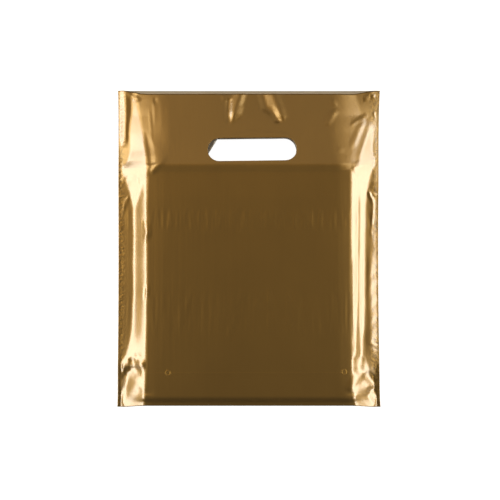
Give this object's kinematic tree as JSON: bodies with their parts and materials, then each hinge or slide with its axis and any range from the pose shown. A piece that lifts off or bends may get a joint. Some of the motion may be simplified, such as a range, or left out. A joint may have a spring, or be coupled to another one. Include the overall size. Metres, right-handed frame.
{
  "type": "plastic carrier bag",
  "caption": "Gloss gold polythene carrier bag with a punched hand slot, welded side seams and a bottom gusset, lying on its back and held open.",
  "frame": {"origin": "middle of the footprint, on the surface that the back wall lies on", "axes": "+Y along the bag from the bottom fold towards the mouth, +Z out of the front wall, +X across to the seam on the right of someone who faces the front"},
  "size_m": [0.2506, 0.3034, 0.026],
  "materials": {
    "film": "gloss gold pearl, darker and greyer inside"
  },
  "bodies": {
    "root": {"bag": "film"}
  },
  "joints": []
}
